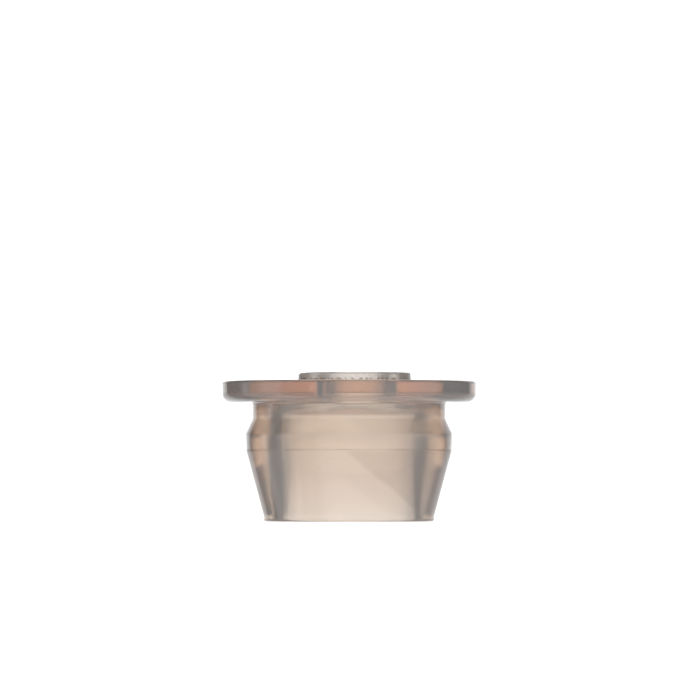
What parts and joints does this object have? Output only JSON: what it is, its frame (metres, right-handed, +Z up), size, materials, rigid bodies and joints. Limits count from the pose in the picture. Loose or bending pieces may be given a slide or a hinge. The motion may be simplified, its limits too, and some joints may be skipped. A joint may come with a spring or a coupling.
{
  "type": "glass insulator",
  "caption": "Tinted see-through snap-in insulating bush: round flange, panel neck, snap bead and hollow tapered nose, with a separate flat collar round its passage.",
  "frame": {"origin": "centre of the nose's end face, on the moulded body's axis; the part stands on this face", "axes": "+Z up along the body's axis, from the nose to the flange; +X from the body's axis towards the passage's axis, which is 0.55 mm off centre; +Y completes a right-handed frame"},
  "size_m": [0.0254, 0.0254, 0.0148],
  "materials": {
    "tinted_body": "tinted amber-tan see-through moulding, glossy with fine moulding ripples",
    "collar_glass": "see-through, lightly tinted, ground and speckled rim with a worn upper edge"
  },
  "bodies": {
    "root": {"insulator_body": "tinted_body", "collar": "collar_glass"}
  },
  "joints": []
}
